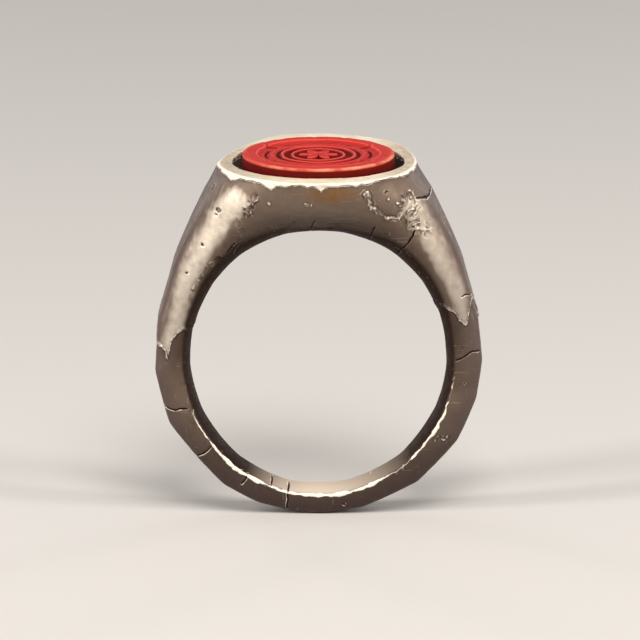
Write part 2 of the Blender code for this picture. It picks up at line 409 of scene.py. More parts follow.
OUTER_FLATS = flats(OUTER_CORNERS, OUTER_FLATNESS)
HOLE_FLATS = flats(HOLE_CORNERS, HOLE_FLATNESS)


# ---- the ring's plain shape


def swell(z):
    """Share of the flare towards the rim that is reached at a height."""
    return 1 / (1 + np.exp((SWELL_HEIGHT - z) / SWELL_LENGTH))


def side_half_depth(z):
    """Half the ring's depth along the finger at a height."""
    taper = DEPTH_BOTTOM + (DEPTH_TOP - DEPTH_BOTTOM) * (z + BAND_DEPTH) / (RIM_TOP + BAND_DEPTH)
    return taper + (RIM_HALF_Y - DEPTH_TOP) * swell(z) / swell(RIM_TOP)


def half_width(z):
    """Half the width of the shoulders at a height above the hole's centre."""
    t = z / RIM_TOP
    leaning = SHOULDER_SLOPE * RIM_TOP * t * t * (1 - t)
    return BAND_HALF_WIDTH - (BAND_HALF_WIDTH - RIM_HALF_X) * ease_in_out(t) + leaning


def section_power(z):
    """How square the section is at a height."""
    squareness = ease_in_out((RIM_TOP - z) / (RIM_TOP - BAND_POWER_HEIGHT))
    return RIM_POWER + (BAND_POWER - RIM_POWER) * squareness


def outward(x, z):
    """How far out a place is in the front view, from 0 in the middle to 1 at the outline."""
    below = np.hypot(x / BAND_HALF_WIDTH, z / BAND_DEPTH)
    above = np.abs(x) / half_width(np.clip(z, 0, RIM_TOP))
    return np.where(z < 0, below, above)


def rim_dent(x, y, z):
    """The dented rim's radius as a share of the plain one's; the dents fade out below the rim."""
    turn = np.degrees(np.arctan2(y / RIM_HALF_Y, x / RIM_HALF_X))
    return 1 - (1 - np.interp(turn, *zip(*RIM_OUTLINE))) * soft_step(z, *RIM_DENT_HEIGHTS)


def body_field(x, y, z):
    """The outer body, with no hole and no top."""
    level = np.minimum(z, RIM_TOP + 1)
    half_y = side_half_depth(level)
    lean = (side_half_depth(level + SLOPE_STEP) - side_half_depth(level - SLOPE_STEP)) / (2 * SLOPE_STEP)
    reach = outward(x, z) / np.interp(np.degrees(np.arctan2(z, x)), *OUTER_FLATS)
    depth = np.abs(y) / half_y
    power = section_power(level)
    size = np.maximum((depth**power + reach**power) ** (1 / power) / rim_dent(x, y, z), SMALLEST_SIZE)
    along = (depth / size) ** (power - 1) / half_y * np.sqrt(1 + (depth * lean) ** 2)
    across = (reach / size) ** (power - 1) / half_width(np.clip(z, 0, RIM_TOP))
    return (size - 1) / np.hypot(along, across)


def hole_radius(turn):
    """Distance from the middle to the plain hole's edge in a direction."""
    return np.hypot(HOLE_HALF_WIDTH * np.cos(turn), HOLE_HALF_HEIGHT * np.sin(turn))


def hole_edge():
    """Easing and half depth of the hole's edge by direction, worked out once."""
    turns = np.radians(np.arange(-180, 181))
    radius = hole_radius(turns)
    ease = EASE_BOTTOM + (EASE_TOP - EASE_BOTTOM) * ((1 + np.sin(turns)) / 2) ** EASE_GROWTH
    x, z = (radius + ease) * np.cos(turns), (radius + ease) * np.sin(turns)
    power = section_power(z)
    depth = side_half_depth(z) * (1 - outward(x, z) ** power) ** (1 / power)
    return turns, ease, depth


EDGE_TURNS, EDGE_EASE, EDGE_DEPTH = hole_edge()


def hole_field(x, y, z):
    """Positive inside the finger hole."""
    turn = np.arctan2(z, x)
    ease = np.interp(turn, EDGE_TURNS, EDGE_EASE)
    depth = np.interp(turn, EDGE_TURNS, EDGE_DEPTH)
    share = np.minimum(np.abs(y) / depth, 1)
    radius = hole_radius(turn) * np.interp(np.degrees(turn), *HOLE_FLATS) + ease * share**EASE_POWER
    slope = EASE_POWER * ease / depth * share ** (EASE_POWER - 1)
    return (radius - np.hypot(x, z)) / np.hypot(1, slope)


def pocket_field(x, y, z):
    """Positive inside the pocket."""
    size = np.hypot(x / POCKET_HALF_X, y / POCKET_HALF_Y)
    return np.minimum((1 - size) * POCKET_HALF_Y, z - POCKET_FLOOR)


def chip_height(x, y):
    """Height of the line between the head and the chipped skin of the rim."""
    turn = np.arctan2(y / RIM_HALF_Y, x / RIM_HALF_X)
    around_x, around_y = RIM_HALF_X * np.cos(turn), RIM_HALF_Y * np.sin(turn)
    flat = 0 * x
    height = CHIP_LINE + 0.11 * fractal(around_x, around_y, flat, cell=0.9, seed=41)
    height += 0.06 * noise(around_x, around_y, flat, cell=0.22, seed=47)
    for place, half, drop in CHIP_TEETH:
        tooth = np.clip(1 - np.abs(around_x - place) / half, 0, 1)
        height = height - np.where(y < 0, drop, BACK_TEETH * drop) * tooth
    return np.clip(height, rim_low[2] + CHIP_ABOVE_BOTTOM, RIM_TOP - CHIP_BELOW_TOP)


# ---- wear on the head and shank


def warped(x, y, z):
    """Front-view place, moved a little at random so that drawn lines look broken and not drawn."""
    moved_x = x + 0.07 * noise(x, y, z, cell=0.5, seed=1) + 0.03 * noise(x, y, z, cell=0.2, seed=3)
    moved_z = z + 0.07 * noise(x, y, z, cell=0.5, seed=2) + 0.03 * noise(x, y, z, cell=0.2, seed=4)
    return moved_x, moved_z


def skin_distance(x, y, z):
    """Distance above the torn end of the pale skin on the shoulders; below zero the skin is gone."""
    left, right = [np.interp(np.abs(x), *zip(*end)) for end in (SKIN_END_LEFT, SKIN_END_RIGHT)]
    front = np.where(x < 0, left, right)
    back = np.where(x < 0, right + BACK_SKIN_SHIFTS[0], left + BACK_SKIN_SHIFTS[1])
    end = front + (back - front) * soft_step(y, -1.6, 1.6)
    wander = 0.5 * soft_step(y, -1.8, -0.6) * noise(x, y, z, cell=1.3, seed=35)
    ragged = 0.18 * noise(x, y, z, cell=0.45, seed=31)
    return z - end + wander + ragged + 0.10 * noise(x, y, z, cell=0.18, seed=33)


def worn_ring_field(x, y, z):
    """Shank and head with every mark, before they are parted."""
    body = body_field(x, y, z)
    hole = hole_field(x, y, z)
    wx, wz = warped(x, y, z)
    marks = 0.030 * noise(x, y, z, cell=2.6, seed=5) + 0.010 * fractal(x, y, z, cell=0.8, seed=6)

    # Cracks, spots and rough places, each on its own side
    on_side = {side: soft_step(side * y, -0.4, 0.1) for side in (-1, 1)}
    for side, half, depth, path in CRACKS:
        away = path_distance(wx, wz, path)
        marks = marks + on_side[side] * depth * np.clip(1 - away / half, 0, 1)
    for side, at_x, at_z, radius, depth in SPOTS:
        away = np.hypot(wx - at_x, wz - at_z) / radius
        marks = marks + on_side[side] * depth * np.clip(1 - away * away, 0, 1)
    scales = np.clip(0.5 - 1.6 * np.abs(fractal(x, y, z, cell=0.6, seed=11, octaves=2)), -0.35, 0.5)
    for side, path, spread, depth in ROUGH_PLACES:
        near = soft_step(-path_distance(wx, wz, path), -spread, -0.25 * spread)
        marks = marks - on_side[side] * near * depth * scales

    # The dent, its beaded crust and the broken groove outside that
    front = on_side[-1]
    in_dent = np.hypot(wx - DENT_CENTRE[0], wz - DENT_CENTRE[1])
    marks = marks + front * DENT_DEPTH * soft_step(-in_dent, -DENT_RADIUS, -0.7 * DENT_RADIUS)
    to_edge = path_distance(wx, wz, DENT_EDGE) + 0.12 * noise(x, y, z, cell=0.4, seed=22)
    crust = np.clip(0.8 + 0.9 * noise(x, y, z, cell=0.28, seed=21), 0, 1.4)
    marks = marks - front * CRUST_HEIGHT * crust * bell(to_edge, CRUST_HALF_WIDTH)
    broken = np.clip(noise(x, y, z, cell=0.5, seed=23) + 0.4, 0, 1)
    groove = bell(to_edge - GROOVE_OFFSET, GROOVE_HALF_WIDTH)
    marks = marks + front * GROOVE_DEPTH * broken * groove

    # The step and lip where the pale skin ends
    skin = skin_distance(wx, y, wz)
    lip = SKIN_LIP_HEIGHT * bell(skin - SKIN_LIP_OFFSET, SKIN_LIP_HALF_WIDTH)
    marks = marks - SKIN_STEP * soft_step(skin, 0, SKIN_FADE) - lip

    # Pits in patches, and nicks along the edges of the hole
    pits = np.maximum(noise(x, y, z, cell=0.36, seed=15) - PIT_RARITY, 0)
    pits = pits * soft_step(noise(x, y, z, cell=2.6, seed=16), 0, 0.4)
    sides_and_back = soft_step(y / side_half_depth(z), -0.6, -0.2) * soft_step(body - hole, -0.4, 0)
    marks = marks + PIT_DEPTH * sides_and_back * pits
    edge = bell(body - hole, 0.3) * bell(np.minimum(np.abs(body), np.abs(hole)), 0.4)
    nicks = np.maximum(noise(x, y, z, cell=0.5, seed=9) - NICK_RARITY, 0)
    marks = marks + NICK_DEPTH * edge * nicks
    return smooth_max(body, hole, HOLE_EDGE_ROUNDING) + marks


def head_and_shank_field(x, y, z):
    """Everything but the rim: the worn ring up to the chipped line, with the pocket sunk in."""
    top = z - chip_height(x, y)
    metal = smooth_max(worn_ring_field(x, y, z), top, HEAD_TOP_ROUNDING)
    return np.maximum(metal, pocket_field(x, y, z))


def rim_field(x, y, z):
    """The rim: a pale skin standing a little proud of the body, with a chipped lower edge."""
    outer = body_field(x, y, z) - RIM_PROUD + 0.025 * fractal(x, y, z, cell=0.6, seed=51)
    rise = RIM_BACK_RISE * soft_step(y, *RISE_PLACES)
    top = z - RIM_TOP - rise + 0.02 * (1 + noise(x, y, z, cell=1.4, seed=53))
    top = top + 0.012 * noise(x, y, z, cell=0.3, seed=54)
    low = chip_height(x, y) + CHIP_OVERLAP - z
    chips = 0.12 * np.maximum(noise(x, y, z, cell=0.5, seed=57) - 0.25, 0)
    shell = smooth_max(outer + chips, top, RIM_TOP_ROUNDING)
    shell = smooth_max(shell, low, RIM_LOW_ROUNDING)
    inner = pocket_field(x, y, z) + 0.03 * fractal(x, y, z, cell=0.7, seed=59, octaves=2)
    return smooth_max(shell, inner, RIM_INNER_ROUNDING)


# ---- meshing a field


def grid_values(field, axes):
    """The field on a grid, worked out a few layers at a time."""
    values = np.empty([len(axis) for axis in axes], dtype=np.float32)
    for start in range(0, len(axes[2]), CHUNK):
        layers = axes[2][start : start + CHUNK]
        x, y, z = np.meshgrid(axes[0], axes[1], layers, indexing="ij")
        rough = smooth_max(body_field(x, y, z), hole_field(x, y, z), HOLE_EDGE_ROUNDING)
        near = (rough > -DEEPEST_MARK) & (rough < TALLEST_MARK)
        near |= (rough < 0) & (z > POCKET_FLOOR - DEEPEST_MARK)
        rough[near] = field(x[near], y[near], z[near])
        values[:, :, start : start + CHUNK] = rough
    return values


def quads_across(solid, number):
    """A quad round each grid edge that the surface crosses, joining the points of the cells round it."""
    counts = number.shape
    quads = []
    for axis in range(3):
        u, v = (axis + 1) % 3, (axis + 2) % 3
        here = np.take(solid, range(counts[axis]), axis)
        there = np.take(solid, range(1, counts[axis] + 1), axis)
        crossing = np.argwhere(here != there)
        crossing = crossing[(crossing[:, u] > 0) & (crossing[:, v] > 0)]
        crossing = crossing[(crossing[:, u] < counts[u]) & (crossing[:, v] < counts[v])]
        outwards = here[tuple(crossing.T)]
        ring = []
        for du, dv in ((1, 1), (0, 1), (0, 0), (1, 0)):
            cell = crossing.copy()
            cell[:, u] -= du
            cell[:, v] -= dv
            ring.append(number[tuple(cell.T)])
        ring = np.stack(ring, axis=1)
        quads.append(np.where(outwards[:, None], ring, ring[:, ::-1]))
    return np.concatenate(quads)


def field_surface(field, low, high, step):
    """Points and quads of a field's surface: one point in each grid cell that the surface crosses."""
    axes = [np.arange(a, b + step, step, dtype=np.float32) for a, b in zip(low, high)]
    values = grid_values(field, axes)
    solid = values < 0
    counts = [n - 1 for n in solid.shape]
    found = np.zeros(counts, dtype=np.uint8)
    for i, j, k in CORNERS:
        found += solid[i : i + counts[0], j : j + counts[1], k : k + counts[2]]
    cells = np.argwhere((found > 0) & (found < 8))
    number = np.full(counts, -1, dtype=np.int32)
    number[tuple(cells.T)] = np.arange(len(cells))

    at_corner = np.stack([values[tuple((cells + corner).T)] for corner in CORNERS], axis=1)
    total = np.zeros((len(cells), 3), dtype=np.float32)
    hits = np.zeros(len(cells), dtype=np.float32)
    for a, b in EDGES:
        first, second = at_corner[:, a], at_corner[:, b]
        crossed = (first < 0) != (second < 0)
        share = np.where(crossed, first / np.where(crossed, first - second, 1), 0)
        place = CORNERS[a] + share[:, None] * (CORNERS[b] - CORNERS[a])
        total += np.where(crossed[:, None], place, 0)
        hits += crossed
    points = (cells + total / hits[:, None]) * step + np.array([axis[0] for axis in axes])
    return settle(field, points.astype(np.float64), step), quads_across(solid, number)


def slope_of(field, points, reach):
    """Gradient of a field, and its mean curvature: above zero on edges, below zero in hollows."""
    centre = field(*points.T)
    slope = np.empty_like(points)
    bend = np.zeros(len(points))
    for axis in range(3):
        ahead, behind = points.copy(), points.copy()
        ahead[:, axis] += reach
        behind[:, axis] -= reach
        f_ahead, f_behind = field(*ahead.T), field(*behind.T)
        slope[:, axis] = (f_ahead - f_behind) / (2 * reach)
        bend += f_ahead + f_behind - 2 * centre
    return centre, slope, bend / (reach * reach)


def settle(field, points, step):
    """Moves points onto the field's surface."""
    for _ in range(2):
        value, slope, _ = slope_of(field, points, SETTLE_REACH)
        size = np.maximum((slope**2).sum(axis=1), 0.2)
        move = np.clip(value / size, -0.5 * step, 0.5 * step)
        points = points - move[:, None] * slope
    return points


def add_object(name, data):
    """A new object in the scene."""
    made = bpy.data.objects.new(name, data)
    bpy.context.scene.collection.objects.link(made)
    return made


def mesh_object(name, points, faces, normals=None, masks=None):
    """A mesh object from points in millimetres, closed over any open edge."""
    mesh = bpy.data.meshes.new(name)
    used = np.unique(faces)
    again = np.full(len(points), -1)
    again[used] = np.arange(len(used))
    mesh.from_pydata((points[used] * MM).tolist(), [], again[faces].tolist())
    for mask, values in (masks or {}).items():
        layer = mesh.attributes.new(mask, "FLOAT", "POINT")
        layer.data.foreach_set("value", values.ravel()[used].astype(np.float32))
    bm = bmesh.new()
    bm.from_mesh(mesh)
    open_edges = [edge for edge in bm.edges if edge.is_boundary]
    if open_edges:
        caps = bmesh.ops.holes_fill(bm, edges=open_edges, sides=0)["faces"]
        bmesh.ops.poke(bm, faces=caps)
    bm.to_mesh(mesh)
    bm.free()
    mesh.shade_smooth()
    if normals is not None:
        added = np.zeros((len(mesh.vertices) - len(used), 3))
        mesh.normals_split_custom_set_from_vertices(np.concatenate([normals[used], added]).tolist())
    return add_object(name, mesh)


# ---- masks that the materials use


def nearest_crack(x, y, z):
    """Distance from the nearest crack, with a sign for its two sides, and how surely there is one."""
    nearest = np.full(x.shape, FAR)
    offset, there = np.full(x.shape, FAR), np.zeros(x.shape)
    x, z = warped(x, y, z)
    for side, _, _, path in CRACKS:
        last = len(path) - 2
        for number, ((ax, az), (bx, bz)) in enumerate(zip(path, path[1:])):
            dx, dz = bx - ax, bz - az
            length = math.hypot(dx, dz)
            along = ((x - ax) * dx + (z - az) * dz) / length
            kept = np.clip(along, 0, length)
            away = np.hypot(x - ax - kept * dx / length, z - az - kept * dz / length)
            past = np.where(number == 0, -along, -1)
            past = np.maximum(past, np.where(number == last, along - length, -1))
            across = (x - ax) * dz - (z - az) * dx
            closer = (away < nearest) & (side * y > 0)
            nearest = np.where(closer, away, nearest)
            offset = np.where(closer, np.sign(across) * away, offset)
            there = np.where(closer, soft_step(-past, -0.1, 0.12) * soft_step(-away, -0.35, -0.2), there)
    return np.clip(offset, -0.4, 0.4), there


def stain_mask(x, y, z):
    """The ochre stain on the front."""
    return bell(np.hypot((x - STAIN[0]) / STAIN_WIDENING, z - STAIN[1]), STAIN_HALF_HEIGHT) * (y < 0)


def shoulder_highlight_mask(x, y, z):
    """The painted highlight down each shoulder, with ragged streaks along it."""
    breadth = np.interp(z, SHOULDER_HIGHLIGHT_HEIGHTS, SHOULDER_HIGHLIGHT_BREADTH)
    to_shoulder = [path_distance(np.abs(x), z, line) for line in (SHOULDER_HIGHLIGHT_LEFT, SHOULDER_HIGHLIGHT_RIGHT)]
    along = np.abs(x) * math.cos(STREAK_DIRECTION) + z * math.sin(STREAK_DIRECTION)
    across = z * math.cos(STREAK_DIRECTION) - np.abs(x) * math.sin(STREAK_DIRECTION)
    streak = noise(along / STREAK_LENGTH, across, y, cell=0.3, seed=61)
    streak = streak + 0.6 * noise(x, y, z, cell=0.35, seed=62)
    shine = bell(np.where(x < 0, *to_shoulder) / breadth, 1.0)
    shine = soft_step(shine + 0.16 * streak * (shine > 0.05), 0.1, 1.0)
    return shine * np.where(x < 0, 1.0, RIGHT_HIGHLIGHT)


def metal_masks(points, bend):
    """Wear, dirt, painted shade and painted highlights at each point of the head or shank."""
    x, y, z = points.T
    body, hole = body_field(x, y, z), hole_field(x, y, z)
    warped_x, warped_z = warped(x, y, z)
    skin = skin_distance(warped_x, y, warped_z)
    direction = np.degrees(np.arctan2(z, x)) % 360
    from_lit_bottom = direction - LIT_BOTTOM_DIRECTION
    crack, cracked = nearest_crack(x, y, z)
    return {
        # Curvature: dirt and painted shade in hollows, wear and a painted highlight on edges
        "relief": np.clip(bend / RELIEF_FULL, -1, 1),
        "skin": np.clip(skin, -1, 1),
        # Painted highlight down each shoulder
        "shine": shoulder_highlight_mask(x, y, z),
        # Painted shade inside the hole
        "inside": soft_step(hole - body, *INSIDE_RANGE),
        # Painted shade near the hole's edge
        "shade": soft_step(hole - body, *SHADE_RANGE) * soft_step(z, *SHADE_HEIGHTS),
        # Painted shade near the outline in the front view
        "outer": soft_step(outward(x, z), *OUTER_SHADE_RANGE),
        # Painted shade low on the band
        "low": soft_step(-z, *LOW_SHADE_RANGE),
        # Painted pool of light on the bottom of the hole
        "rubbed": bell(from_lit_bottom, np.where(from_lit_bottom < 0, *LIT_BOTTOM_SPREAD)),
        "edge": np.clip(hole - body, -0.5, 0.5),
        "lit_edge": soft_step(direction, *LIT_EDGE_START) * soft_step(-direction, *LIT_EDGE_END),
        "crack": crack,
        "cracked": cracked,
        "stain": stain_mask(x, y, z),
        # Painted shadow just under the rim's chipped edge
        "under_rim": soft_step(z - chip_height(x, y), *UNDER_RIM_SHADOW_RANGE),
    }


def rim_masks(points, bend):
    """Wear, dirt, painted shade and painted highlights at each point of the rim."""
    x, y, z = points.T
    return {
        # Curvature: dirt and painted shade in hollows, wear and a painted highlight on edges
        "relief": np.clip(bend / RELIEF_FULL, -1, 1),
        # Painted highlight on the rim's outer side
        "lip": soft_step(body_field(x, y, z), *RIM_LIP_HIGHLIGHT_RANGE),
        "ends": soft_step(np.abs(x), *RIM_ENDS_RANGE),
        "stain": stain_mask(x, y, z),
    }


# ---- pieces


def surface_with_looks(field, low, high, step, masks):
    """Points, quads, normals and masks of a field's surface."""
    points, quads = field_surface(field, low, high, step)
    _, slope, bend = slope_of(field, points, BEND_REACH)
    normals = slope / np.linalg.norm(slope, axis=1)[:, None]
    return points, quads, normals, masks(points, bend)


def make_head_and_shank():
    """Meshes both as one surface, and parts it at the two joints."""
    low = np.array([-BAND_HALF_WIDTH, rim_low[1], -BAND_DEPTH]) - MESH_ROOM
    high = np.array([BAND_HALF_WIDTH, rim_high[1], RIM_TOP]) + MESH_ROOM
    points, quads, *looks = surface_with_looks(head_and_shank_field, low, high, BODY_STEP, metal_masks)
    middle = points[quads].mean(axis=1)
    in_head = middle[:, 2] * math.tan(JOINT_ANGLE) > np.abs(middle[:, 0])
    head = mesh_object("head_worn", points, quads[in_head], *looks)
    shank = mesh_object("shank_worn", points, quads[~in_head], *looks)
    return head, shank


def make_rim():
    """The chipped collar round the pocket."""
    low = rim_low - MESH_ROOM
    high = rim_high + np.array([MESH_ROOM, MESH_ROOM, MESH_ROOM + RIM_BACK_RISE])
    return mesh_object("rim_worn", *surface_with_looks(rim_field, low, high, RIM_STEP, rim_masks))


def polar_solid(name, radii, heights, turns, masks=None):
    """A closed solid from rings of points: radius and height by ring and by direction."""
    rings, around = radii.shape
    x, y = radii * np.cos(turns), radii * np.sin(turns)
    points = np.stack([x, y, heights], axis=-1).reshape(-1, 3)
    faces = []
    for ring in range(rings - 1):
        here = ring * around + np.arange(around)
        beside = ring * around + (np.arange(around) + 1) % around
        faces.append(np.stack([here, here + around, beside + around, beside], axis=1))
    return mesh_object(name, points, np.concatenate(faces), masks=masks)


def carving(radius, turn, x, y):
    """Depth of the seal's carving below its flat border."""
    flat = 0 * x
    wobble = 0.05 * noise(x, y, flat, cell=1.1, seed=71) + 0.02 * noise(x, y, flat, cell=0.35, seed=72)
    out = radius + wobble
    depth = sum(floor * soft_step(-out, -begin, -full) for begin, full, floor in SEAL_FLOORS)
    for ring, half, height in SEAL_RINGS:
        depth = depth - height * bell(out - ring, half)
    for ring, half, cut in SEAL_GROOVES:
        depth = depth + cut * bell(out - ring, half)

    petal = np.abs(np.sin(3 * turn + 0.04 * noise(x, y, flat, cell=0.8, seed=73)))
    petal_edge = PETAL_LENGTH * np.cos(np.arcsin(np.clip(petal, 0, 1)) * 0.93)
    inside_petal = soft_step(petal_edge - out, -0.05, 0.12)
    rib = bell(petal * out, 0.06)
    depth = depth - PETAL_HEIGHT * inside_petal + RIB_DEPTH * rib * inside_petal
    depth = depth - BUTTON_HEIGHT * soft_step(-out, -0.38, -0.22)

    from_leaf = np.arctan2(np.abs(y), np.abs(x)) - LEAF_DIRECTION
    arc = bell(out - ARC_RADIUS, 0.10) * soft_step(np.abs(from_leaf), 0.24, 0.32)
    leaf_long = (out - LEAF_RADIUS) / LEAF_HALF_LENGTH
    leaf_wide = from_leaf * out / LEAF_HALF_WIDTH
    leaf = np.clip(1 - leaf_long**2 - leaf_wide**2, 0, 1)
    depth = depth + ARC_DEPTH * arc + LEAF_DEPTH * np.sqrt(leaf)
    return depth + 0.012 * fractal(x, y, flat, cell=0.5, seed=75)


def make_seal():
    """The carved disc, from the middle of its face out over the edge and under."""
    edge = disc_high[0]
    top, bottom = disc_high[2] + SEAL_RISE, disc_low[2]
    turns = np.linspace(0, 2 * math.pi, SEAL_AROUND, endpoint=False)
    face = np.linspace(FACE_START, edge - SEAL_BEVEL, FACE_ROWS)
    bevel = np.linspace(0, math.pi / 2, BEVEL_ROWS)[1:]
    side = np.linspace(top - SEAL_BEVEL, bottom + SEAL_BEVEL, SIDE_ROWS)[1:]
    under = np.linspace(edge, UNDER_END, UNDER_ROWS)[1:]
    radius = np.concatenate([
        face,
        edge - SEAL_BEVEL + SEAL_BEVEL * np.sin(bevel),
        np.full(len(side), edge),
        under,
    ])
    height = np.concatenate([
        np.full(len(face), top),
        top - SEAL_BEVEL + SEAL_BEVEL * np.cos(bevel),
        side,
        np.full(len(under), bottom),
    ])
    radius, turn = np.meshgrid(radius, turns, indexing="ij")
    height = np.repeat(height[:, None], SEAL_AROUND, axis=1)
    x, y = radius * np.cos(turn), radius * np.sin(turn)
    on_face = height > top - SEAL_BEVEL - 1e-6
    depth = np.where(on_face, carving(radius, turn, x, y), 0)
    worn_edge = bell(radius - edge, 0.35) * (height > bottom + 0.5)
    rim_wear = 0.05 * np.maximum(fractal(x, y, height, cell=0.7, seed=77), 0) * worn_edge
    depth = depth * soft_step(edge - radius, 0, 0.1)
    height = height - depth - rim_wear * on_face
    waves = 0.015 * (1 + noise(x, y, height, cell=0.8, seed=79)) * (radius > edge - 0.2)
    radius = radius - 0.5 * rim_wear - waves
    # The worn edge's painted highlight is strongest towards one direction
    most_lit_wear = 0.3 + 0.7 * soft_step(np.cos(turn - WORN_HIGHLIGHT_DIRECTION), 0.1, 0.9)
    masks = {
        "carved": np.clip(depth / 0.4, -0.2, 1),
        # Crests of the carving, which get a painted highlight
        "crest": np.clip(np.gradient(np.gradient(depth, axis=0), axis=0) / 0.03, -1, 1) * on_face,
        "wear_and_highlight": bell(radius - edge + 0.10, 0.15) * on_face * most_lit_wear,
        # The disc's wall, which gets painted shade
        "wall": soft_step(top - SEAL_BEVEL - height, 0, 0.1),
    }
    return polar_solid("seal_carved", radius, height + y * math.sin(SEAL_TILT), turns, masks)


def make_cement():
    """The resin bed, with a lumpy face where it was pressed out round the disc."""
    turns = np.linspace(0, 2 * math.pi, CEMENT_AROUND, endpoint=False)
    edge_shares, edge_bases = zip(*CEMENT_EDGE)
    share = np.concatenate([np.linspace(0.01, 0.97, CEMENT_ROWS), edge_shares])
    base = np.concatenate([np.ones(CEMENT_ROWS), edge_bases])
    share, turn = np.meshgrid(share, turns, indexing="ij")
    x = share * (cement_high[0] - CEMENT_INSET) * np.cos(turn)
    y = share * (cement_high[1] - CEMENT_INSET) * np.sin(turn)
    lumps = 0.04 * fractal(x, y, 0 * x, cell=0.9, seed=81)
    thickness = cement_high[2] - cement_low[2] - CEMENT_HEADROOM
    height = cement_low[2] + base[:, None] * (thickness + np.minimum(lumps, 0.07))
    return polar_solid("cement_bed", np.hypot(x, y), height, np.arctan2(y, x))


# ---- materials


def colour(red, green, blue):
    """A colour from its usual 0 to 255 values."""
    parts = [part / 255 for part in (red, green, blue)]
    return [part / 12.92 if part < 0.04045 else ((part + 0.055) / 1.055) ** 2.4 for part in parts] + [1.0]


BODY_BROWN = colour(114, 97, 84)
BODY_DARK = colour(92, 75, 63)
# Grey of the pale skin, laid on more thickly under the painted shoulder highlight
SKIN_AND_HIGHLIGHT_GREY = colour(156, 138, 123)
# Painted shoulder highlight, and the pale scratches
HIGHLIGHT_AND_SCRATCH_PALE = colour(248, 235, 217)
# Painted shade inside and round the hole
INSIDE_SHADE_BROWN = colour(38, 22, 14)
# Painted shade near the outline
OUTER_SHADE_GREY = colour(86, 75, 75)
# Painted shade low on the band
LOW_SHADE_BROWN = colour(68, 55, 51)
STAIN_OCHRE = colour(138, 96, 46)
# Dark of the cracks, dirt and painted shade in hollows, and painted shadow under the rim
CRACK_AND_SHADOW_BROWN = colour(46, 31, 26)
# Worn edges and painted highlights
WEAR_AND_HIGHLIGHT_CREAM = colour(255, 247, 230)
# Painted pool of light on the bottom of the hole
LIT_BOTTOM_PALE = colour(204, 187, 168)
RIM_CREAM = colour(254, 241, 211)
RIM_TAN = colour(190, 169, 147)
RIM_YELLOW = colour(226, 190, 118)
# Dirt and painted shade in the rim's hollows
RIM_DIRT_AND_SHADE = colour(96, 78, 62)
PLATE_BROWN = colour(110, 92, 78)
PLATE_BLACK = colour(52, 42, 36)
RESIN_BROWN = colour(84, 64, 54)
RESIN_TAN = colour(120, 98, 82)
STONE_RED = colour(188, 50, 45)
STONE_DEEP = colour(174, 38, 34)
STONE_SHADE = colour(92, 13, 9)
# Pale worn edge of the seal, with a painted highlight
STONE_WORN_HIGHLIGHT = colour(240, 160, 124)
# Painted highlight on the carving's crests
STONE_HIGHLIGHT = colour(236, 104, 92)
FLOOR_PALE = colour(206, 202, 197)
WORLD_TINT = colour(240, 240, 244)
WORLD_STRENGTH = 0.36
SILVER_SPECULAR = 0.12
STONE_SPECULAR = 0.06

# Lamps, in metres and watts: name, place, what it points at, width and height, power, tint
LAMPS = (
    ("top_light", (0.05, -0.19, 0.30), (0, 0, 0.003), (0.18, 0.18), 0.95, (1.0, 0.97, 0.93)),
    ("left_strip", (-0.28, -0.12, 0.12), (-0.006, 0, 0.006), (0.05, 0.24), 0.68, (1.0, 0.95, 0.88)),
    ("right_strip", (0.29, -0.11, 0.12), (0.006, 0, 0.006), (0.05, 0.24), 0.56, (1.0, 0.95, 0.88)),
    ("left_back", (-0.20, 0.24, 0.10), (-0.008, 0, 0.002), (0.05, 0.2), 0.13, (1.0, 0.95, 0.97)),
    ("right_back", (0.20, 0.24, 0.10), (0.008, 0, 0.002), (0.05, 0.2), 0.13, (1.0, 0.95, 0.97)),
)


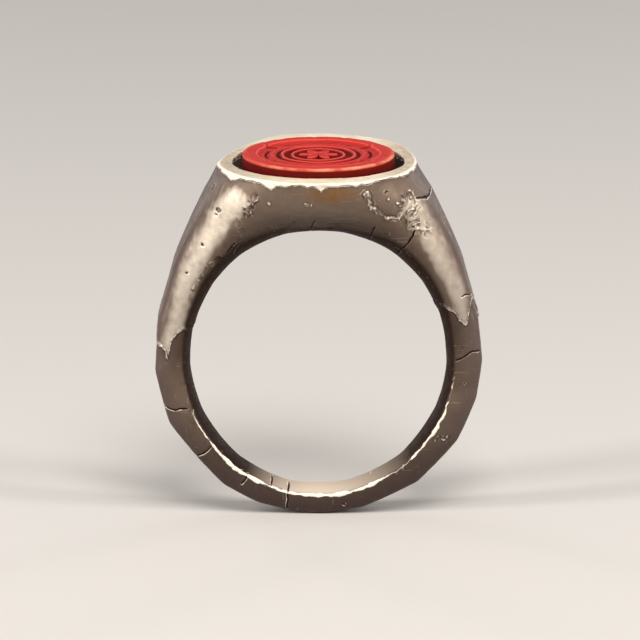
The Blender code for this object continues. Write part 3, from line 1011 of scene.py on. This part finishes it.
class Paint:
    """A material being built up in layers."""

    def __init__(self, name, base, metallic, roughness):
        """A plain material to start from."""
        self.material = bpy.data.materials.new(name)
        self.material.use_nodes = True
        self.tree = self.material.node_tree
        self.shader = self.tree.nodes["Principled BSDF"]
        self.base = base
        self.bump = None
        self.give("Metallic", metallic)
        self.give("Base Color", base)
        self.give("Roughness", roughness)
        self.place = self.node("TexCoord", {}).outputs["Object"]

    def set(self, socket, value):
        """Gives a socket a fixed value, or links it to a mask by name or to another node's output."""
        if isinstance(value, str):
            value = self.node("Attribute", {}, attribute_name=value).outputs["Fac"]
        if isinstance(value, bpy.types.NodeSocket):
            self.tree.links.new(value, socket)
        else:
            socket.default_value = value

    def give(self, name, value):
        """Sets one of the shader's own inputs."""
        self.set(self.shader.inputs[name], value)

    def node(self, kind, inputs, **settings):
        """A new node with its settings, and with its inputs set or linked."""
        made = self.tree.nodes.new("ShaderNode" + kind)
        for name, value in settings.items():
            setattr(made, name, value)
        for name, value in inputs.items():
            self.set(made.inputs[name], value)
        return made

    def grain(self, cell, detail=4, stretch=(1, 1, 1)):
        """Noise between 0 and 1 whose cells are this many millimetres long."""
        scale = [part / (cell * MM) for part in stretch]
        place = self.node("Mapping", {"Scale": scale, "Vector": self.place}).outputs["Vector"]
        return self.node("TexNoise", {"Scale": 1, "Detail": detail, "Vector": place}).outputs["Fac"]

    def scaled(self, value, start, end, low=0, high=1):
        """A value spread from one range to another, and kept within it."""
        inputs = {"Value": value, "From Min": start, "From Max": end, "To Min": low, "To Max": high}
        return self.node("MapRange", inputs).outputs["Result"]

    def math(self, how, first, second=0):
        """A sum worked out from one or two values."""
        return self.node("Math", {0: first, 1: second}, operation=how).outputs["Value"]

    def times(self, first, second):
        """Two values multiplied."""
        return self.math("MULTIPLY", first, second)

    def layer(self, amount, shade):
        """Covers the colour so far with another, as far as the amount says."""
        inputs = {MIX_AMOUNT: amount, MIX_FIRST: self.base, MIX_SECOND: shade}
        self.base = self.node("Mix", inputs, data_type="RGBA").outputs[MIX_RESULT]
        self.give("Base Color", self.base)

    def patch(self, shade, mask, by, *limits):
        """Covers a mask with a colour, as far as a second value spread to its limits says."""
        self.layer(self.times(mask, self.scaled(by, *limits)), shade)

    def raise_by(self, height, distance, strength):
        """Adds a bump whose height reaches a distance in millimetres."""
        inputs = {"Strength": strength, "Distance": distance * MM, "Height": height}
        if self.bump is not None:
            inputs["Normal"] = self.bump
        self.bump = self.node("Bump", inputs).outputs["Normal"]
        self.give("Normal", self.bump)


def aged_silver():
    """Brown-grey silver: a pale skin with a painted highlight down the shoulders, painted shade in and round
    the hole, cracked and scratched.
    """
    paint = Paint("aged_silver_worn", BODY_BROWN, metallic=0.5, roughness=0.45)
    cloud, speck, grit = paint.grain(2.2, 3), paint.grain(0.5), paint.grain(0.12, 3)
    has_skin = paint.scaled("skin", 0, 0.06)
    paint.layer(paint.scaled(cloud, 0.4, 0.68, 0, 0.7), BODY_DARK)
    # The pale skin, with a painted highlight down each shoulder on it
    paint.patch(SKIN_AND_HIGHLIGHT_GREY, has_skin, "shine", 0, 0.6, 0.27, 0.8)
    shine = paint.times(has_skin, paint.scaled("shine", 0.35, 1))
    paint.patch(HIGHLIGHT_AND_SCRATCH_PALE, shine, speck, 0.25, 0.6, 0.6, 1)
    torn_edge = paint.times(has_skin, paint.scaled("skin", 0.42, 0.1))
    paint.patch(WEAR_AND_HIGHLIGHT_CREAM, torn_edge, speck, 0.38, 0.52)

    # Painted shade near the hole's edge
    paint.layer(paint.times("shade", 0.58), INSIDE_SHADE_BROWN)
    # Painted shade near the outline
    paint.layer(paint.times("outer", 0.55), OUTER_SHADE_GREY)
    # Painted shade low on the band
    paint.layer(paint.times("low", 0.75), LOW_SHADE_BROWN)
    # Painted shade inside the hole, thinned where the painted pool of light lies
    paint.patch(INSIDE_SHADE_BROWN, "inside", "rubbed", 0.1, 0.9, 1, 0.1)
    # Painted pool of light on the bottom of the hole
    paint.patch(LIT_BOTTOM_PALE, "inside", "rubbed", 0.2, 1, 0, 0.95)
    paint.patch(STAIN_OCHRE, "stain", speck, 0.3, 0.6, 0.35, 1)
    # Painted shadow just under the rim's chipped edge
    paint.patch(CRACK_AND_SHADOW_BROWN, "under_rim", speck, 0.4, 0.6, 0.1, 0.8)

    # Dirt and painted shade in hollows, wear and a painted highlight on raised edges, weaker in the painted
    # shade
    relief = paint.times("relief", paint.scaled("cracked", 0, 1, 1, 0.25))
    paint.layer(paint.scaled(relief, -0.15, -1, 0, 0.7), CRACK_AND_SHADOW_BROWN)
    raised = paint.times(relief, paint.scaled("shade", 0, 0.6, 1, 0.4))
    paint.layer(paint.scaled(raised, 0.3, 1, 0, 0.6), WEAR_AND_HIGHLIGHT_CREAM)
    from_crack = paint.math("ABSOLUTE", "crack")
    paint.patch(CRACK_AND_SHADOW_BROWN, "cracked", from_crack, 0.075, 0.035)
    # A painted highlight along the lips of the cracks, weaker in the painted shade
    lip = paint.times(paint.scaled("crack", 0.06, 0.08), paint.scaled("crack", 0.14, 0.11))
    lip = paint.times(lip, paint.scaled(speck, 0.4, 0.6, 0.1, 0.7))
    lip = paint.times(lip, paint.scaled("shade", 0, 0.4, 1, 0.15))
    paint.layer(paint.times("cracked", lip), WEAR_AND_HIGHLIGHT_CREAM)

    # A painted highlight of uneven width along the hole's lit edge
    wavering = paint.math("ADD", "edge", paint.scaled(speck, 0.3, 0.7, -0.06, 0.06))
    uneven = paint.scaled(paint.grain(1.1, 1), 0.35, 0.65, 0.03, 0.18)
    breadth = paint.times(paint.scaled("lit_edge", 0, 1, 0.3, 1), uneven)
    within = paint.math("SUBTRACT", breadth, paint.math("ABSOLUTE", wavering))
    paint.layer(paint.times(paint.scaled("lit_edge", 0, 0.1), paint.scaled(within, 0, 0.04)), WEAR_AND_HIGHLIGHT_CREAM)

    for stretch in ((0.03, 1, 1), (1, 0.4, 0.03)):
        paint.layer(paint.scaled(paint.grain(0.12, 0, stretch), 0.78, 0.84, 0, 0.09), HIGHLIGHT_AND_SCRATCH_PALE)
    paint.give("Metallic", paint.scaled("inside", 0, 1, 0.5, 0.05))
    dullness = paint.math("ADD", speck, paint.times("inside", 0.4))
    paint.give("Roughness", paint.scaled(dullness, 0.3, 1, 0.35, 0.72))
    paint.raise_by(speck, 0.02, 0.5)
    paint.raise_by(grit, 0.008, 0.5)
    paint.give("Specular IOR Level", SILVER_SPECULAR)
    return paint.material


def worn_silver():
    """Pale cream silver with dirt and painted shade in its hollows, and worn raised edges and outer side
    with painted highlights.
    """
    paint = Paint("worn_silver_chipped", RIM_CREAM, metallic=0.35, roughness=0.5)
    cloud, speck, grit = paint.grain(1.4, 3), paint.grain(0.35), paint.grain(0.1, 3)
    paint.layer(paint.scaled(cloud, 0.42, 0.66, 0, 0.4), RIM_TAN)
    paint.patch(RIM_TAN, "ends", speck, 0.3, 0.6, 0.35, 0.85)
    # Painted highlight on the rim's outer side
    paint.layer(paint.times("lip", 0.9), WEAR_AND_HIGHLIGHT_CREAM)
    paint.patch(RIM_YELLOW, "stain", speck, 0.3, 0.6, 0.1, 0.6)
    # Dirt and painted shade in hollows, wear and a painted highlight on raised edges
    paint.layer(paint.scaled("relief", -0.1, -0.8, 0, 0.8), RIM_DIRT_AND_SHADE)
    paint.layer(paint.scaled("relief", 0.3, 0.9, 0, 0.7), WEAR_AND_HIGHLIGHT_CREAM)
    paint.give("Roughness", paint.scaled(speck, 0.3, 0.7, 0.4, 0.62))
    paint.raise_by(speck, 0.02, 0.5)
    paint.raise_by(grit, 0.008, 0.5)
    return paint.material


def tarnished_silver():
    """Brown plate with black tarnish."""
    paint = Paint("tarnished_silver_plate", PLATE_BROWN, metallic=0.7, roughness=0.5)
    speck = paint.grain(0.5)
    paint.layer(paint.scaled(speck, 0.4, 0.65, 0, 0.8), PLATE_BLACK)
    paint.give("Roughness", paint.scaled(speck, 0.3, 0.7, 0.35, 0.65))
    paint.raise_by(speck, 0.02, 0.6)
    return paint.material


def setting_resin():
    """Dull dark resin with lighter specks."""
    paint = Paint("setting_resin_lumpy", RESIN_BROWN, metallic=0, roughness=0.6)
    speck = paint.grain(0.4)
    paint.layer(paint.scaled(speck, 0.4, 0.7, 0, 0.7), RESIN_TAN)
    paint.give("Roughness", paint.scaled(speck, 0.3, 0.7, 0.45, 0.8))
    paint.raise_by(speck, 0.04, 0.6)
    return paint.material


def red_stone():
    """Red stone with painted shade in the carving and round the wall, painted highlights on the crests, and
    a pale worn edge with a painted highlight.
    """
    paint = Paint("red_stone_carved", STONE_RED, metallic=0, roughness=0.38)
    cloud, speck, grit = paint.grain(1.6, 3), paint.grain(0.4), paint.grain(0.1, 3)
    paint.layer(paint.scaled(cloud, 0.4, 0.7, 0, 0.5), STONE_DEEP)
    # Painted shade in the carving
    paint.layer(paint.scaled("carved", 0.2, 1, 0, 0.36), STONE_SHADE)
    # Painted highlight on the carving's crests
    paint.layer(paint.scaled("crest", 0.15, 0.9, 0, 0.55), STONE_HIGHLIGHT)
    # Painted shade round the wall
    paint.layer(paint.times("wall", 0.95), STONE_SHADE)
    # A pale worn edge with a painted highlight
    paint.patch(STONE_WORN_HIGHLIGHT, "wear_and_highlight", cloud, 0.35, 0.6, 0.1, 0.9)
    dull_wall = paint.times("wall", 0.3)
    paint.give("Roughness", paint.math("ADD", paint.scaled(speck, 0.3, 0.7, 0.3, 0.5), dull_wall))
    paint.raise_by(speck, 0.015, 0.5)
    paint.raise_by(grit, 0.006, 0.4)
    paint.give("Specular IOR Level", STONE_SPECULAR)
    return paint.material


# ---- studio


def area_light(name, place, aim, size, power, tint):
    """A soft rectangular lamp pointed at a place."""
    light = bpy.data.lights.new(name, "AREA")
    light.shape = "RECTANGLE"
    light.size, light.size_y = size
    light.energy = power
    light.color = tint
    holder = add_object(name, light)
    holder.location = place
    holder.rotation_euler = (Vector(aim) - Vector(place)).to_track_quat("-Z", "Y").to_euler()


def make_floor():
    """A plain pale floor that the ring stands on."""
    mesh = bpy.data.meshes.new("floor")
    half, height = FLOOR_HALF, -BAND_DEPTH * MM
    corners = [(-half, -half, height), (half, -half, height), (half, half, height), (-half, half, height)]
    mesh.from_pydata(corners, [], [(0, 1, 2, 3)])
    mesh.materials.append(Paint("pale_floor", FLOOR_PALE, metallic=0.0, roughness=0.9).material)
    floor = add_object("floor", mesh)


def make_studio():
    """The lamps and the soft light from all round."""
    for lamp in LAMPS:
        area_light(*lamp)
    world = bpy.data.worlds.new("studio")
    world.use_nodes = True
    background = world.node_tree.nodes["Background"]
    background.inputs["Color"].default_value = WORLD_TINT
    background.inputs["Strength"].default_value = WORLD_STRENGTH
    bpy.context.scene.world = world
    bpy.context.scene.view_settings.view_transform = "Standard"


def make_camera():
    """The camera, in front of the ring and a little above it."""
    camera = bpy.data.cameras.new("camera")
    camera.lens = LENS
    camera.sensor_width = SENSOR_WIDTH
    camera.clip_start = CLIP_START
    holder = add_object("camera", camera)
    offset = Vector((0, -math.cos(ELEVATION), math.sin(ELEVATION))) * DISTANCE * MM
    holder.location = Vector(AIM) * MM + offset
    holder.rotation_euler = (-offset).to_track_quat("-Z", "Y").to_euler()
    bpy.context.scene.camera = holder


# ---- putting it together


def place_piece(piece, node, material):
    """Gives a piece its material and slot, and puts it in the place of its CAD node."""
    piece.data.materials.append(material)
    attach(piece, "root")
    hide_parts(node)


silver = aged_silver()
head, shank = make_head_and_shank()
place_piece(head, "head", silver)
place_piece(shank, "shank", silver)
place_piece(make_rim(), "bezel_rim", worn_silver())
place_piece(make_seal(), "seal_disc", red_stone())
place_piece(make_cement(), "setting_cement", setting_resin())
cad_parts["seat_plate"].material_slots[0].material = tarnished_silver()

make_floor()
make_studio()
make_camera()
